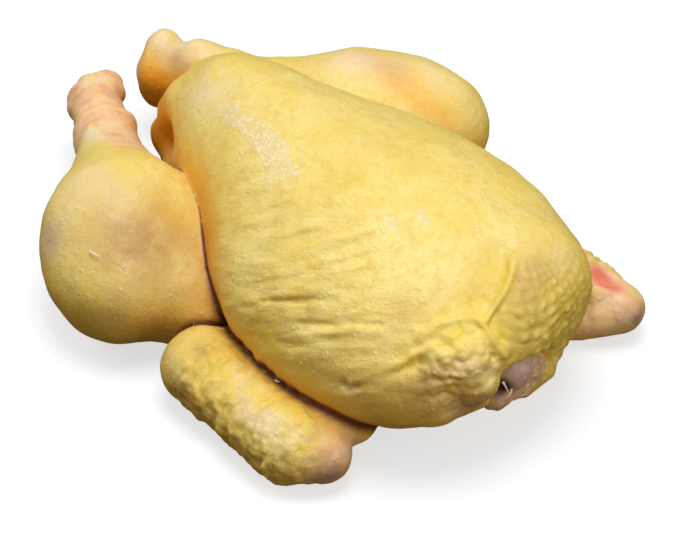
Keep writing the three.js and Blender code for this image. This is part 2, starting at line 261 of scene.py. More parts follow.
CREAM = [
    ((-124, 24, 51), (12, 11, 7), 1.0),
    ((116, 80, 20), (12, 10, 8), 0.9),
    ((106, 74, 18), (12, 10, 8), 0.8),
    ((124, -28, 62), (12, 12, 10), 0.35),
    ((-110, 29, 50), (13, 9, 6), 1.0),
    ((-49, 65, 63), (15, 10, 7), 0.7),
    ((-35, 74, 65), (17, 9, 6), 0.8),
    ((-15, 86, 63), (15, 9, 6), 0.5),
    ((-52, -72, 62), (17, 13, 10), 0.7),
    ((-52, -12, 80), (12, 9, 8), 0.6),
    ((-40, -13, 85), (10, 7, 6), 0.5),
    ((-102, -35, 47), (8, 6, 6), 1.0),
    ((-94, -40, 50), (9, 7, 7), 0.9),
    ((-84, -42, 53), (11, 8, 7), 0.7),
    ((-112, -24, 46), (5, 6, 4), 0.5),
    ((-53, -95, 46), (12, 9, 11), 0.8),
    ((54, -81, 32), (7, 5, 4), 0.6),
    ((69.7, -86.3, 29.9), (9, 6, 5), 0.9),
    ((83.8, -87.7, 29.7), (9, 6, 6), 0.8),
    ((93, -82.4, 27.5), (6, 5, 5), 0.5),
    ((104, -44, 66), (6, 5, 5), 0.4),
    ((131.9, -31.3, 64.4), (5, 5, 4), 0.4),
    ((136.2, -22.6, 55.2), (5, 5, 6), 0.45),
    ((122, 30, 78), (10, 12, 6), 0.3),
]
RUBBED = [
    ((-28, -17, 87), (9, 6, 5), 0.8),
    ((-14.5, -17.5, 90), (9, 6, 5), 0.9),
    ((-2, -20, 91), (10, 6, 5), 1.0),
    ((8, -22, 91), (9, 6, 5), 1.0),
    ((18, -25, 90.5), (8, 4.5, 5), 1.0),
    ((14.5, -33, 86), (5, 3.5, 4), 0.7),
    ((38.7, -33.8, 88.2), (4, 3, 3), 0.75),
    ((72.9, -17.2, 92.8), (4.5, 3, 3), 1.0),
    ((80.2, -5.9, 93.8), (6.5, 3.5, 3), 1.0),
]
FAT = [
    ((58, -69.2, 52.5), (7, 4, 8), 0.8),
    ((8.9, -26.1, 90.3), (1.8, 1.5, 2), 1.0),
    ((12, -28, 89.5), (2.4, 1.2, 2), 0.9),
    ((-53, -4, 85), (4, 1.6, 2.5), 0.9),
    ((-14.8, 24.2, 92.3), (1.8, 1.8, 2), 0.7),
    ((-51.5, -26.3, 77.8), (5, 2, 4), 0.5),
    ((123, -27, 69), (9, 8, 6), 0.55),
    ((115.7, -42.6, 63.7), (10, 6, 5), 0.7),
    ((121, -19.9, 71.5), (9, 9, 4), 0.7),
    ((118, 2, 81), (9, 8, 5), 0.6),
    ((130, -8, 66), (8, 8, 6), 0.6),
    ((95.2, -82.7, 25.4), (6, 5, 5), 0.9),
    ((-46, -97, 38), (11, 6, 4), 0.5),
    ((-30, -99, 36), (9, 6, 4), 0.3),
    ((70, -78, 32), (24, 8, 5), 0.7),
    ((38, -84, 33), (14, 8, 5), 0.6),
    ((-60, -38, 56), (10, 8, 8), 0.7),
    ((111, 88, 22), (8, 5, 6), 0.6),
]
FLESH = [
    ((103, -70, 20), (10, 9, 9), 0.9),
    ((92, -60, 12), (12, 10, 10), 0.7),
    ((116, 80, 18), (12, 12, 9), 0.6),
    ((104, 66, 16), (15, 12, 10), 0.6),
    ((100, 77, 28), (7, 5, 6), 0.9),
    ((106, 80, 25), (8, 5, 6), 0.9),
    ((-131.5, 21.5, 49), (4.5, 4.5, 4), 0.9),
]
BLOOD = [
    ((98, 77, 29), (5, 3.5, 4.5), 0.9),
    ((103, 78, 26.5), (5, 3.5, 4), 0.9),
    ((108, 80, 24.8), (4.5, 3.5, 3), 0.6),
    ((106, 66, 9), (14, 8, 4), 0.35),
]
PURPLE = [
    ((103, -77, 11), (9, 9, 6), 0.8),
    ((104, -70, 18), (7, 8, 6), 0.35),
    ((119.6, 81.5, 16), (6, 6, 6), 0.9),
    ((134, -27, 38), (9, 9, 7), 0.6),
    ((-53, -95, 46), (9, 8, 8), 0.35),
    ((-112.6, 22, 46.3), (6, 5, 5), 0.25),
]
FEATHERED = [
    ((-30, -92, 40), (30, 12, 22), 0.5),
    ((30, -80, 30), (14, 12, 12), 0.8),
    ((60, -88, 22), (40, 12, 12), 0.7),
    ((60, 90, 20), (40, 12, 12), 0.7),
    ((-30, 98, 36), (30, 12, 22), 0.4),
    ((62, -68, 50), (40, 14, 18), 0.25),
    ((128, 12, 60), (14, 22, 18), 0.4),
    ((-96, 3, 22), (12, 12, 10), 1.0),
]
PLAIN_TINTS = dict(amber_shade=AMBER_SHADE, mauve=MAUVE, cream=CREAM, fat=FAT, blood=BLOOD, purple=PURPLE,
                   feathered=FEATHERED, folds=WRINKLED)
# Width of the painted shade in the creases between members
CREASE_SHADE_WIDTH = 2.0
RELIEF_REACH = 5.0


def colour(red, green, blue):
    """A colour of the photograph, 0 to 255 a channel, as light."""
    return tuple((c / 255) ** 2.2 for c in (red, green, blue)) + (1.0,)


# Colours as they look in the photograph
SKIN_YELLOW = colour(241, 212, 104)
SKIN_CREAM = colour(245, 219, 126)
SKIN_DEEP = colour(230, 188, 70)
SKIN_PALE = colour(248, 230, 164)
# Deeper, warmer yellow painted on the undersides as shade
SKIN_UNDERSIDE_SHADE = colour(236, 184, 50)
# Olive tone of the follicled neck skin: partly its own colour, partly painted shade
FLAP_OLIVE = colour(212, 178, 62)
FOLLICLE_PALE = colour(238, 212, 118)
# Painted warm glow in the shade by the near thigh
SHADE_GLOW_ORANGE = colour(236, 164, 34)
# Saturated orange painted where parts lie in shade
AMBER_SHADE_BROWN = colour(238, 160, 8)
MAUVE_BROWN = colour(190, 144, 86)
FAT_YELLOW = colour(246, 216, 70)
CREAM_PINK = colour(248, 222, 180)
RUBBED_CREAM = colour(236, 210, 142)
RUBBED_WHITE = colour(250, 236, 198)
FLESH_PINK = colour(240, 174, 126)
FLESH_CREAM = colour(250, 212, 164)
BLOOD_RED = colour(228, 124, 98)
PURPLE_BRUISE = colour(150, 104, 104)
# Painted shade in the creases between members: orange at the edge, dark brown deep in
CREASE_SHADE_ORANGE = colour(216, 138, 30)
CREASE_SHADE_BROWN = colour(98, 46, 8)
FLESH_MAUVE = colour(196, 158, 136)
FLESH_GREY = colour(214, 180, 152)
FLESH_BROWN = colour(206, 156, 104)
FLESH_TAN = colour(234, 200, 150)
# Dark brown painted in the flesh's hollow as shade
HOLE_SHADE_BROWN = colour(66, 30, 14)
HORN_PALE = colour(246, 236, 212)
HORN_YELLOW = colour(236, 210, 150)
PIMPLE_GAP_MM = 5.0

# The studio
FLOOR_HALF_SIDE = 4.0
FLOOR_GLOW = 0.64
FLOOR_SHADE = (0.42, 0.42, 0.42, 1)
FLOOR_WHITE = (0.45, 0.45, 0.45, 1)
SKY_BELOW = (0.08, 0.06, 0.03, 1)
SKY_ABOVE = (0.39, 0.39, 0.4, 1)

# Lights: place in metres, power in watts and width in metres
LIGHTS = dict(
    key=((0.08, 0.0, 1.35), 10.9, 0.8),
    fill=((1.2, 0.1, 0.45), 3.6, 0.8),
    rear=((-1.0, -0.55, 0.7), 3.0, 0.9),
)

# Thin things on the skin: routes in millimetres, thickness at the root and at the tip
TENDONS = dict(
    routes=[
        [(137, -13.5, 48), (137.5, -11.5, 43), (135.5, -9, 37.5)],
        [(136.5, -8, 40.5), (137, -10, 38.5), (135.5, -12.5, 36.5)],
    ],
    radii=(0.5, 0.3),
)
QUILLS = dict(
    routes=[
        [(-28.3, -92.8, 54), (-26, -92.8, 54.6), (-23, -91.7, 54.2)],
        [(61.7, -68.5, 30), (63, -69.5, 31.2), (64.6, -69.2, 31.4)],
        [(-49.6, -83.8, 59.9), (-48, -84.4, 60.8), (-46.5, -84.6, 61)],
    ],
    radii=(0.5, 0.25),
)
HAIRS = dict(
    routes=[
        [(19, -75, 33), (19.5, -77, 36), (21, -77.5, 39)],
        [(25, -69.5, 32.5), (27, -70, 35.5), (30, -69.5, 37)],
        [(31, -72, 33), (33.5, -72.5, 35), (36.5, -71, 35.5)],
    ],
    radii=(0.16, 0.08),
)
STUB_DENSITY = 1400.0
STUB_LENGTH_MM = 1.6
STUB_RADIUS_MM = 0.28
STUB_TAPER = 0.4
STUB_LEAN = 0.7
STUB_SIZES = (0.6, 1.2)
STUB_SIDES = 6
STUB_SEED = 7

# From the drawing's middle to the frame's, in millimetres
FRAME_SHIFT = np.array((1.456, -2.937, 0.0))

# The grid that the skin is laid on, and how far it is thinned afterwards
GRID_LOW = (-146.0, -109.0, -6.0)
GRID_HIGH = (146.0, 118.0, 106.0)
SKIN_STEP = 0.9
FLESH_STEP = 0.7
SKIN_TRIANGLES = 195000
BLOCK_SIZES = (12, 4)
POINTS_AT_ONCE = 60000


# Forms: each says how far points are outside it, below zero inside


def ellipsoid(p, centre, radii, yaw=0.0, pitch=0.0):
    q = p - np.array(centre, np.float32)
    if yaw or pitch:
        turn = Matrix.Rotation(math.radians(yaw), 3, "Z") @ Matrix.Rotation(-math.radians(pitch), 3, "Y")
        q = q @ np.array(turn, np.float32)
    r = np.array(radii, np.float32)
    near = np.linalg.norm(q / r, axis=1)
    slope = np.linalg.norm(q / (r * r), axis=1)
    return near * (near - 1) / np.maximum(slope, 1e-6)


def along(p, start, end):
    """How far along the line from start to end each point is, 0 to 1, and how far off it."""
    a = np.array(start, np.float32)
    d = np.array(end, np.float32) - a
    t = np.clip((p - a) @ d / (d @ d), 0, 1)
    return t, np.linalg.norm(p - a - t[:, None] * d, axis=1)


def limb(p, start, end, start_radius, end_radius):
    t, off = along(p, start, end)
    return off - (start_radius + (end_radius - start_radius) * t)


def chain(p, route, radii):
    parts = [limb(p, *ends, *sizes) for ends, sizes in zip(zip(route, route[1:]), zip(radii, radii[1:]))]
    return np.minimum.reduce(parts)


def joined(a, b, blend):
    overlap = np.maximum(blend - np.abs(a - b), 0) / blend
    return np.minimum(a, b) - overlap * overlap * blend / 4


def hollowed(a, b, blend):
    return -joined(-a, b, blend)


def lift(p, route, height, width):
    off = chain(p, route, [0] * len(route)) / width
    return height * np.exp(-off * off)


def body(p):
    d = ellipsoid(p, **BREAST)
    for mass in [BREAST_REAR, *BREAST_LOBES, BACK]:
        d = joined(d, ellipsoid(p, **mass), BODY_BLEND)
    return d - lift(p, **KEEL)


def tail_end(d, p):
    d = hollowed(d, ellipsoid(p, **VENT), TAIL_END_BLEND)
    d = joined(d, ellipsoid(p, **TAIL), TAIL_END_BLEND)
    return joined(d, chain(p, **TAIL_SKIN), TAIL_END_BLEND)


def neck_end(d, p):
    d = joined(d, ellipsoid(p, **FLAP), FLAP_BLEND)
    d = d - lift(p, **LONG_VALLEY) - lift(p, **LONG_RIDGE)
    d = hollowed(d, ellipsoid(p, **OPENING), OPENING_BLEND)
    d = joined(d, ellipsoid(p, **BUNCH), BUNCH_BLEND)
    d = d - lift(p, **SHORT_VALLEY) - lift(p, **SHORT_RIDGE)
    for lump in LOWER_BUNCHES:
        d = joined(d, ellipsoid(p, **lump), LOWER_BUNCH_BLEND)
    return joined(d, chain(p, **NECK_ROLL), NECK_ROLL_BLEND)


def leg(p, ankle, shank, calf, radii, knuckles, knee, thigh, web=None):
    d = limb(p, ankle, shank, radii[0], radii[1])
    d = joined(d, limb(p, shank, calf, radii[1], radii[2]), CALF_BLEND)
    d = joined(d, ellipsoid(p, **knee), KNEE_BLEND)
    d = joined(d, ellipsoid(p, **thigh), THIGH_BLEND)
    for centre, radius in knuckles:
        d = joined(d, ellipsoid(p, centre, (radius,) * 3), KNUCKLE_BLEND)
    return joined(d, ellipsoid(p, **web), WEB_BLEND) if web else d


def wing(p, forearm, upper_arm, hand, hollow=None):
    d = limb(p, *forearm)
    d = joined(d, chain(p, **hand), HAND_BLEND)
    d = joined(d, limb(p, *upper_arm), ELBOW_BLEND)
    return hollowed(d, ellipsoid(p, **hollow), WING_HOLLOW_BLEND) if hollow else d


def members(p):
    """The body, the two legs and the two wings, apart."""
    whole_body = neck_end(tail_end(body(p), p), p)
    return [whole_body, leg(p, **NEAR_LEG), leg(p, **FAR_LEG), wing(p, **NEAR_WING), wing(p, **FAR_WING)]


def bird(p):
    d, near_leg, far_leg, near_wing, far_wing = members(p)
    for a_leg in (near_leg, far_leg):
        d = joined(d, a_leg, LEG_TO_BODY_BLEND)
    for a_wing in (near_wing, far_wing):
        d = joined(d, a_wing, WING_TO_BODY_BLEND)
    return d


# Relief: how far the skin stands up from the forms


class Hills:
    """Smooth random hills from -1 to 1, the same on every run."""

    def __init__(self, seed, cells=64):
        self.cells = cells
        self.heights = np.random.default_rng(seed).uniform(-1, 1, (cells,) * 3).astype(np.float32)

    def __call__(self, p, size):
        """Hills about as wide as size, at each point. Size is one number or one for each axis."""
        q = p / np.array(size, np.float32)
        low = np.floor(q).astype(np.int32)
        f = q - low
        f = f * f * (3 - 2 * f)
        total = np.zeros(len(p), np.float32)
        for corner in np.ndindex(2, 2, 2):
            x, y, z = ((low[:, a] + corner[a]) % self.cells for a in range(3))
            share = np.ones(len(p), np.float32)
            for a in range(3):
                share *= f[:, a] if corner[a] else 1 - f[:, a]
            total += share * self.heights[x, y, z]
        return total


hills = Hills(seed=4)


def around(p, centre, radii):
    """1 at a centre, falling softly to 0 past the radii."""
    q = (p - np.array(centre, np.float32)) / np.array(radii, np.float32)
    return np.exp(-np.sum(q * q, axis=1))


def patches(p, places):
    """Where patches lie, each by its centre, radii and strength, 0 to 1."""
    total = sum(strength * around(p, centre, radii) for centre, radii, strength in places)
    return np.clip(total, 0, 1)


def rise(value, start, end):
    """0 before start, 1 after end, smooth between."""
    t = np.clip((value - start) / (end - start), 0, 1)
    return t * t * (3 - 2 * t)


def drawn_out(p, slope, length, width):
    """Hills drawn out across the photograph, rising to the right by a slope in degrees."""
    a = math.radians(slope)
    way = math.cos(a) * ACROSS_VIEW + math.sin(a) * UP_VIEW
    side = math.cos(a) * UP_VIEW - math.sin(a) * ACROSS_VIEW
    q = np.stack([p @ way, p @ side, p @ np.cross(way, side)], axis=1)
    return hills(q, (length, width, length))


def lobes(p, size):
    """Round lobes with sharp creases between them: 1 on top of each, 0 or less in the creases."""
    q = p / size
    home = np.floor(q).astype(np.int32)
    nearest = np.full(len(p), 9, np.float32)
    for step in np.ndindex(3, 3, 3):
        cell = home + np.array(step) - 1
        places = [(cell + turn) % hills.cells for turn in ((0, 0, 0), (7, 0, 0), (0, 7, 0))]
        shift = [hills.heights[tuple(place.T)] for place in places]
        off = q - cell - 0.5 - 0.4 * np.stack(shift, axis=1)
        nearest = np.minimum(nearest, np.sum(off * off, axis=1))
    return 1 - 1.6 * nearest


def breast_folds(p):
    """Fine wrinkles across the near side of the breast."""
    low_folds = 0.9 * drawn_out(p, 2, 19, 5.5) + 0.6 * drawn_out(p, -2, 10, 2.9)
    low_folds = low_folds + 0.3 * drawn_out(p, 5, 6, 1.9)
    high_folds = 1.3 * drawn_out(p, 20, 30, 4.5) + 0.8 * drawn_out(p, 16, 22, 2.6)
    return around(p, *LOW_FOLDS) * low_folds + around(p, *HIGH_FOLDS) * high_folds


def follicle_bumps(p):
    """Rows of follicles on the flap and the roll: 1 on top of each, 0 between."""
    q = p - np.array(FLAP["centre"], np.float32)
    across = np.degrees(np.arctan2(q[:, 1], q[:, 0])) / FOLLICLE_ROW_DEGREES
    rising = np.degrees(np.arctan2(q[:, 2], np.hypot(q[:, 0], q[:, 1]))) / FOLLICLE_STEP_DEGREES
    across = across + 0.5 * hills(p, 11) + 0.2 * hills(p, 5)
    rising = rising + 0.6 * hills(p[:, ::-1], 11) + 0.2 * hills(p, 4)
    column = np.floor(across).astype(int)
    row = np.floor(rising).astype(int)
    jitter = [hills.heights[column % hills.cells, row % hills.cells, k] for k in range(3)]
    off_x = across - column - 0.5 - FOLLICLE_JITTER * jitter[0]
    off_y = rising - row - 0.5 - FOLLICLE_JITTER * jitter[1]
    wide, tall = FOLLICLE_SPREAD
    return (0.75 + 0.25 * jitter[2]) * np.exp(-off_x * off_x / wide - off_y * off_y / tall)


def flap_skin(p):
    """Where the skin is thick with follicles."""
    return patches(p, FOLLICLED) * rise(p @ ACROSS_VIEW, *FOLLICLES_START)


def crumple(p):
    """The crumpled skin's height where it is bunched by the neck opening, 0 elsewhere."""
    mask = patches(p, CRUMPLED)
    height = np.zeros(len(p), np.float32)
    there = mask > 0.02
    q = p[there]
    height[there] = mask[there] * (1.6 * hills(q, 9) + 1.9 * lobes(q, 6.5) + 1.2 * lobes(q, 3.4) - 1.2)
    return height


def forearm_wrinkles(p):
    """Fine wrinkles round each forearm."""
    q = p + np.stack([2.5 * hills(p, 11), 0 * p[:, 0], 0 * p[:, 0]], axis=1)
    folds = 1.1 * hills(q, (2.9, 14, 14)) + 0.6 * hills(q, (2.2, 5, 5)) + 0.6 * hills(p, 5)
    mask = forearm_mask(p)
    there = mask > 0.02
    folds[there] += 0.6 * lobes(q[there], 3.4) - 0.3
    return mask * folds


def forearm_mask(p):
    total = 0
    for start, end, radius, _ in (NEAR_WING["forearm"], FAR_WING["forearm"]):
        t, off = along(p, start, end)
        total = total + rise(off, radius + 6, radius + 2) * rise(t, 0.0, 0.12)
    return total * (1 - 0.7 * patches(p, FLESH))


def leg_place(p, leg_sizes, inward):
    """How far each point is along the leg from the cut ankle, and off its line towards the body."""
    ankle, calf = (np.array(leg_sizes[k], np.float32) for k in ("ankle", "calf"))
    way = (calf - ankle) / np.linalg.norm(calf - ankle)
    side = np.cross((0, 0, inward), way)
    side = side / np.linalg.norm(side)
    return (p - ankle) @ way, (p - ankle) @ side.astype(np.float32)


def by_leg(p, leg_sizes):
    """1 on a leg below the knee, 0 elsewhere."""
    d = limb(p, leg_sizes["ankle"], leg_sizes["shank"], 12, 13)
    d = np.minimum(d, limb(p, leg_sizes["shank"], leg_sizes["calf"], 13, 31))
    return rise(d, 4, 1)


def bare_ankles(p):
    """Where the skin stops short of the ankle, higher up on the inner side of the near leg."""
    ragged = 2.0 * hills(p, 9)
    s, inner = leg_place(p, NEAR_LEG, 1)
    edge = NEAR_SKIN_EDGE + ragged + 1.2 * np.maximum(-7 - inner, 0) + 4.6 * np.clip(inner + 7, 0, 8)
    past = (s - edge) / np.where(inner > -7, 4.7, 1.6)
    near = by_leg(p, NEAR_LEG) * rise(past, 2.6, -2.6)
    s, inner = leg_place(p, FAR_LEG, -1)
    start, end = FAR_SKIN_EDGE
    far = by_leg(p, FAR_LEG) * rise(s, start + ragged, end + ragged)
    return near + far


def ankle_rings(p):
    """The wrinkle round the near ankle."""
    s, inner = leg_place(p, NEAR_LEG, 1)
    s = s + 2.5 * hills(p, 12)
    ring = sum(
        part["height"] * np.exp(-((s - part["along"]) / part["width"]) ** 2)
        for part in (ANKLE_RIDGE, ANKLE_GROOVE)
    )
    fine = 1.0 * hills(np.stack([s, 0.4 * inner, 0.2 * p[:, 2]], axis=1), 2.6)
    return by_leg(p, NEAR_LEG) * (ring + fine * rise(s, 44, 34))


def relief(p):
    height = 1.4 * hills(p, 27) + 0.5 * hills(p[:, ::-1], 10) + 0.1 * hills(p, 3.1)
    height += breast_folds(p)
    height += flap_skin(p) * (1.2 * follicle_bumps(p) - 0.4 + 0.5 * hills(p, 5))
    height += crumple(p)
    height += forearm_wrinkles(p)
    height += ankle_rings(p) - 0.8 * bare_ankles(p)
    for fold in SMALL_FOLDS:
        height += lift(p, **fold)
    return height


def skin(p):
    """The finished skin: the forms with their relief, cut flat where the bird lies on the floor."""
    d = bird(p)
    near = np.abs(d) < RELIEF_REACH
    d[near] -= relief(p[near])
    return np.maximum(d, -p[:, 2])


# Colour masks: where each tint of the skin lies, painted shade among them, 0 to 1


def crease_shade_mask(p, parts):
    """Painted shade where two members press together, wider and stronger low down."""
    nearest, second = np.sort(np.stack(parts), axis=0)[:2]
    width = CREASE_SHADE_WIDTH * (1 + 2.5 * rise(p[:, 2], 55, 22))
    strength = (0.5 + 0.5 * rise(p[:, 2], 60, 50)) * rise(p[:, 2], 2, 8)
    return strength * np.exp(-np.maximum(second - nearest, 0) / width)


def tint_masks(p):
    bare = bare_ankles(p)
    flap = flap_skin(p)
    parts = members(p)
    on_body = rise(np.minimum.reduce(parts[1:]) - parts[0], -1, 2)
    return {name: patches(p, places) for name, places in PLAIN_TINTS.items()} | {
        "crease_shade": crease_shade_mask(p, parts),
        "shade_glow": patches(p, SHADE_GLOW) * on_body,
        "rubbed": rise(patches(p, RUBBED) + 0.25 * hills(p, 5) + 0.15 * hills(p, 2.2), 0.45, 0.62),
        "flesh": np.clip(bare + patches(p, FLESH), 0, 1),
        "forearms": forearm_mask(p),
        "flap": flap,
        "bumps": flap * follicle_bumps(p),
    }


# Meshes


def fill_pinches(values, inside_value):
    """Fills corners where the skin would only touch itself across a grid face, so that it stays one sheet."""
    pinched = True
    while pinched:
        pinched = False
        for axis in range(3):
            v = np.moveaxis(values, axis, 0)
            ring = [v[:, :-1, :-1], v[:, 1:, :-1], v[:, 1:, 1:], v[:, :-1, 1:]]
            a, b, c, d = (corner < 0 for corner in ring)
            pinch = (a == c) & (b == d) & (a != b)
            if pinch.any():
                pinched = True
                for corner in ring:
                    corner[pinch] = np.minimum(corner[pinch], inside_value)


def blocks_near(field, low, step, corners, size):
    """The blocks of grid points that the surface comes near, and the field in the middle of every block."""
    middle = low + step * (corners + (size - 1) / 2)
    rough = field(middle.astype(np.float32))
    return np.abs(rough) < step * size * 1.25 + 2.5, rough


def field_on_grid(field, low, step, counts):
    """The field on a grid of points, worked out point by point only where its surface is near."""
    large, small = BLOCK_SIZES
    blocks = [math.ceil(n / large) for n in counts]
    values = np.zeros([n * large for n in blocks], np.float32)
    corners = np.argwhere(np.ones(blocks, bool)) * large
    near, rough = blocks_near(field, low, step, corners, large)
    for (x, y, z), value in zip(corners[~near], rough[~near]):
        values[x:x + large, y:y + large, z:z + large] = value
    inner = np.argwhere(np.ones((large // small,) * 3, bool)) * small
    corners = (corners[near][:, None, :] + inner).reshape(-1, 3)
    near, rough = blocks_near(field, low, step, corners, small)
    points = np.argwhere(np.ones((small,) * 3, bool))
    spread = (corners[:, None, :] + points).reshape(-1, 3)
    values[tuple(spread.T)] = np.repeat(rough, small ** 3)
    spread = (corners[near][:, None, :] + points).reshape(-1, 3)
    for part in np.array_split(spread, 1 + len(spread) // POINTS_AT_ONCE):
        values[tuple(part.T)] = field((low + step * part).astype(np.float32))
    return values


def settled(field, points, step):
    """The points moved down the field on to its surface, each by no more than a part of a step."""
    reach = step / 4
    directions = np.array([(1, -1, -1), (-1, -1, 1), (-1, 1, -1), (1, 1, 1)], np.float32)
    corners = [field(points + reach * way) for way in directions]
    slope = sum(value[:, None] * way for value, way in zip(corners, directions)) / (4 * reach)
    steepness = np.maximum(np.sum(slope * slope, axis=1), 0.2)
    move = np.clip(sum(corners) / 4 / steepness, -step / 4, step / 4)
    return (points - slope * move[:, None]).astype(np.float32)


def surface_net(field, low, high, step):
    """Points and quadrilaterals of a closed mesh on the field's surface."""
    low = np.array(low, float)
    counts = [math.ceil((b - a) / step) + 2 for a, b in zip(low, high)]
    values = field_on_grid(field, low, step, counts)
    fill_pinches(values, -step / 20)
    inside = values < 0
    nx, ny, nz = (n - 1 for n in inside.shape)
    cells = sum(inside[i:nx + i, j:ny + j, k:nz + k].astype(np.int8) for i, j, k in np.ndindex(2, 2, 2))
    where = np.argwhere((cells > 0) & (cells < 8))
    numbers = np.full(cells.shape, -1, np.int64)
    numbers[tuple(where.T)] = np.arange(len(where))

    total = np.zeros((len(where), 3))
    crossings = np.zeros(len(where))
    for axis in range(3):
        for a, b in np.ndindex(2, 2):
            start = np.insert((a, b), axis, 0)
            end = np.insert((a, b), axis, 1)
            at_start = values[tuple((where + start).T)]
            at_end = values[tuple((where + end).T)]
            crossed = (at_start < 0) != (at_end < 0)
            share = np.where(crossed, at_start / np.where(crossed, at_start - at_end, 1), 0)
            point = start + share[:, None] * (end - start)
            total += crossed[:, None] * point
            crossings += crossed
    points = low + step * (where + total / crossings[:, None])
    points = settled(field, points.astype(np.float32), step)

    quads = []
    for axis in range(3):
        v = np.moveaxis(inside, axis, 0)
        n = np.moveaxis(numbers, axis, 0)
        crossed = v[:-1, 1:-1, 1:-1] != v[1:, 1:-1, 1:-1]
        ring = [n[:, :-1, :-1], n[:, 1:, :-1], n[:, 1:, 1:], n[:, :-1, 1:]]
        faces = np.stack([corner[crossed] for corner in ring], 1)
        leaving = v[:-1, 1:-1, 1:-1][crossed]
        faces = np.where(leaving[:, None], faces, faces[:, ::-1])
        quads.append(faces if axis != 1 else faces[:, ::-1])
    return points, np.concatenate(quads)


def new_object(name, data):
    obj = bpy.data.objects.new(name, data)
    bpy.context.scene.collection.objects.link(obj)
    return obj


def evaluated_mesh(obj):
    """A plain mesh of what the object's modifiers make."""
    return bpy.data.meshes.new_from_object(obj.evaluated_get(bpy.context.evaluated_depsgraph_get()))


def mesh_object(name, points, quads):
    """A smooth mesh object from arrays, in the units of the points."""
    mesh = bpy.data.meshes.new(name)
    mesh.vertices.add(len(points))
    mesh.vertices.foreach_set("co", points.astype(np.float32).ravel())
    mesh.loops.add(quads.size)
    mesh.loops.foreach_set("vertex_index", quads.astype(np.int32).ravel())
    mesh.polygons.add(len(quads))
    mesh.polygons.foreach_set("loop_start", np.arange(0, quads.size, 4, dtype=np.int32))
    mesh.polygons.foreach_set("use_smooth", np.ones(len(quads), bool))
    mesh.update(calc_edges=True)
    return new_object(name, mesh)


def thinned(obj, triangles):
    """The mesh with its flat parts in larger faces, down to about that many triangles."""
    now = sum(len(p.vertices) - 2 for p in obj.data.polygons)
    if now <= triangles:
        return obj
    modifier = obj.modifiers.new("thin", "DECIMATE")
    modifier.ratio = triangles / now
    mesh = evaluated_mesh(obj)
    obj.modifiers.remove(modifier)
    obj.data = mesh
    mesh.polygons.foreach_set("use_smooth", np.ones(len(mesh.polygons), bool))
    return obj


def points_of(obj):
    co = np.zeros(len(obj.data.vertices) * 3, np.float32)
    obj.data.vertices.foreach_get("co", co)
    return co.reshape(-1, 3)


def set_points(obj, points):
    obj.data.vertices.foreach_set("co", points.astype(np.float32).ravel())
    obj.data.update()


def set_masks(obj, masks):
    """Each mask as an attribute of the mesh's points."""
    for name, values in masks.items():
        attribute = obj.data.attributes.new(name, "FLOAT", "POINT")
        attribute.data.foreach_set("value", values.astype(np.float32))


def to_frame(points):
    """Points of the drawing in the frame's metres."""
    return (points + FRAME_SHIFT) * MM


def make_skin():
    step = SKIN_STEP
    points, quads = surface_net(skin, GRID_LOW, GRID_HIGH, step)
    obj = thinned(mesh_object("chicken_skin", points, quads), SKIN_TRIANGLES)
    points = points_of(obj)
    set_masks(obj, tint_masks(points))
    normals = np.zeros(len(points) * 3, np.float32)
    obj.data.vertex_normals.foreach_get("vector", normals)
    # Undersides, found by the mesh's normals, get a deeper yellow: painted shade
    set_masks(obj, {"underside_shade": rise(normals[2::3], 0.7, -0.3)})
    set_points(obj, to_frame(points))
    return obj


def neck_flesh(p):
    d = ellipsoid(p, **NECK_FLESH[0]) - 0.5 * hills(p, 5)
    for lump in NECK_FLESH[1:]:
        d = joined(d, ellipsoid(p, **lump) - 0.6 * lobes(p, 5) - 0.5 * hills(p, 2.2), 1.5)
    return hollowed(d, ellipsoid(p, **FLESH_HOLE), 1.5)


def make_neck_flesh():
    low = np.min([np.subtract(lump["centre"], lump["radii"]) for lump in NECK_FLESH], axis=0) - 2
    high = np.max([np.add(lump["centre"], lump["radii"]) for lump in NECK_FLESH], axis=0) + 2
    points, quads = surface_net(neck_flesh, low, high, FLESH_STEP)
    obj = mesh_object("neck_flesh", points, quads)
    smooth = ellipsoid(points, **NECK_FLESH[0])
    grainy = np.minimum.reduce([ellipsoid(points, **lump) for lump in NECK_FLESH[1:]])
    # Dark brown painted in and round the hollow in the flesh: painted shade
    hole_shade = around(points, FLESH_HOLE["centre"], np.multiply(FLESH_HOLE["radii"], 1.4))
    set_masks(obj, {"grains": rise(smooth - grainy, -1, 1), "hole_shade": np.clip(2 * hole_shade, 0, 1)})
    set_points(obj, to_frame(points))
    return obj


def curved(route, steps=10):
    """Points along a smooth curve through the middle of a route of three."""
    a, b, c = (np.array(point, float) for point in route)
    t = np.linspace(0, 1, steps)[:, None]
    return (1 - t) ** 2 * a + 2 * t * (1 - t) * (2 * b - (a + c) / 2) + t ** 2 * c


def tube(route, radii, sides=6):
    """Points and quadrilaterals of a thin closed tube along a route, thinner towards its tip."""
    line = curved(route)
    ways = np.gradient(line, axis=0)
    ways /= np.linalg.norm(ways, axis=1)[:, None]
    first = np.cross(ways, (0.3, 0.5, 0.8))
    first /= np.linalg.norm(first, axis=1)[:, None]
    second = np.cross(ways, first)
    turns = 2 * np.pi * np.arange(sides) / sides
    thickness = np.linspace(*radii, len(line))[:, None, None]
    rings = np.cos(turns)[:, None] * first[:, None] + np.sin(turns)[:, None] * second[:, None]
    points = (line[:, None] + thickness * rings).reshape(-1, 3)
    last = sides * (len(line) - 1)
    quads = [(r + k, r + (k + 1) % sides, r + sides + (k + 1) % sides, r + sides + k)
             for r in range(0, last, sides) for k in range(sides)]
    quads += [(0, k, k - 1, k - 2) for k in range(sides - 1, 2, -2)]
    quads += [(last, last + k - 2, last + k - 1, last + k) for k in range(3, sides, 2)]
    return points, np.array(quads)


